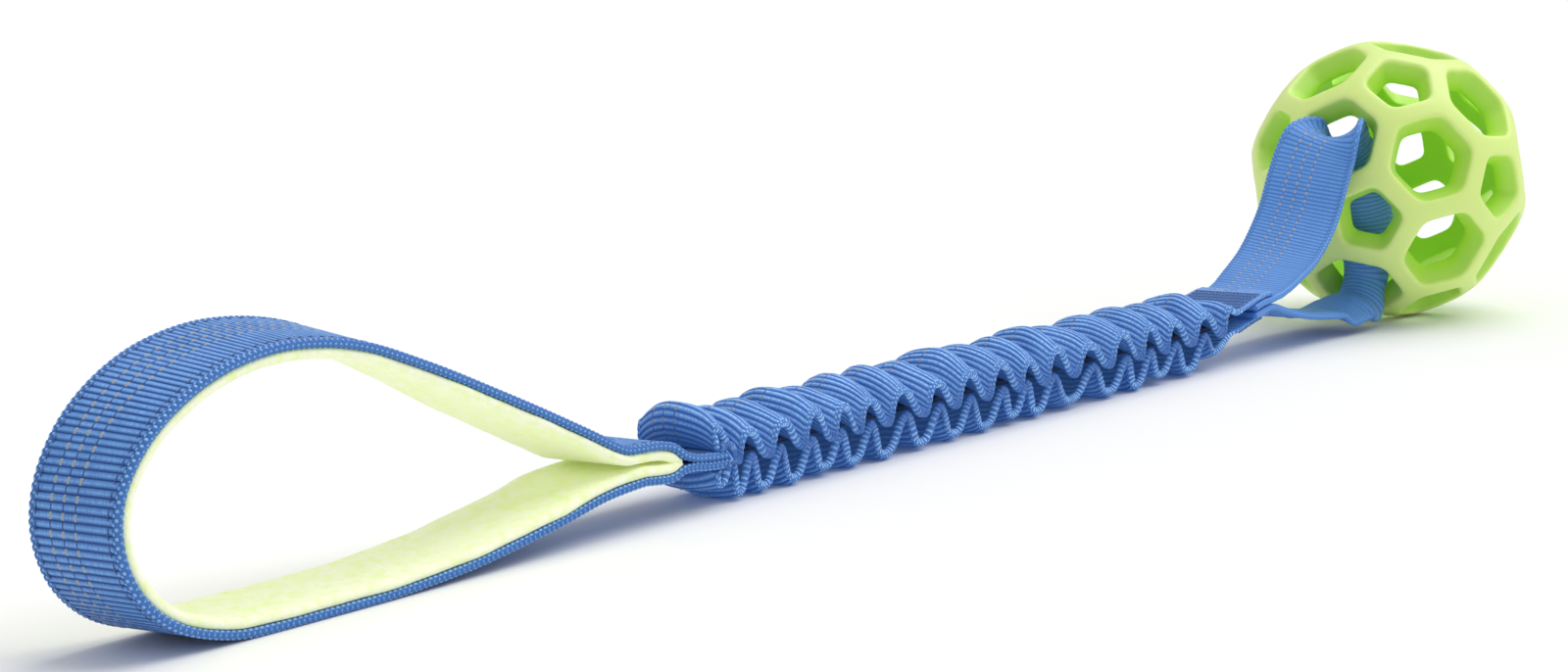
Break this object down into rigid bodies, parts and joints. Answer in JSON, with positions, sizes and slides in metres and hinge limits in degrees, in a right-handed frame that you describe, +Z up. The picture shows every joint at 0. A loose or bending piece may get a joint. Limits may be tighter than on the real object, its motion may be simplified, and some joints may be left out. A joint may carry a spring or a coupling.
{
  "type": "bungee tug toy",
  "caption": "Dog tug toy: a fleece-lined webbing hand loop, a gathered elastic bungee and an open lattice rubber ball held on a strap.",
  "frame": {"origin": "centre of the bounding box at the floor", "axes": "+X along the toy from the hand loop to the ball, +Y across the webbing's width, +Z up"},
  "size_m": [0.4992, 0.0696, 0.0694],
  "materials": {
    "blue_webbing": "ribbed polyester webbing with thin reflective threads",
    "sewing_thread": "dense stitching",
    "fleece": "soft fleece",
    "elastic": "woven elastic band",
    "rubber": "satin moulded rubber"
  },
  "bodies": {
    "bungee": {"cover_top": "blue_webbing", "cover_bottom": "blue_webbing", "elastic_band": "elastic"},
    "handle": {"handle_webbing": "blue_webbing", "handle_fleece": "fleece", "handle_tack_top": "sewing_thread", "handle_tack_bottom": "sewing_thread"},
    "bungee_tail": {"strap_tack_top": "sewing_thread", "strap_tack_bottom": "sewing_thread"},
    "strap": {"ball_strap": "blue_webbing"},
    "ball": {"lattice_ball": "rubber"}
  },
  "joints": [
    {"name": "handle_swing", "type": "hinge", "parent": "bungee", "child": "handle", "pos_m": [-0.0851, 0, 0.0095], "axis": [0, 1, 0], "range_deg": [-60, 60], "stiffness_Nm_per_rad": 0.03},
    {"name": "bungee_stretch", "type": "slide", "parent": "bungee", "child": "bungee_tail", "axis": [1, 0, 0], "range_m": [0, 0.1], "stiffness_N_per_m": 350, "deforming": ["cover_top", "cover_bottom", "elastic_band"]},
    {"name": "strap_swing", "type": "hinge", "parent": "bungee_tail", "child": "strap", "pos_m": [0.1359, 0, 0.0129], "axis": [0, 1, 0], "range_deg": [-60, 60], "stiffness_Nm_per_rad": 0.03},
    {"name": "ball_pivot", "type": "hinge", "parent": "strap", "child": "ball", "pos_m": [0.1828, 0, 0.035], "axis": [0, 1, 0], "range_deg": [-35, 35], "stiffness_Nm_per_rad": 0.02, "deforming": ["ball_strap"]}
  ]
}
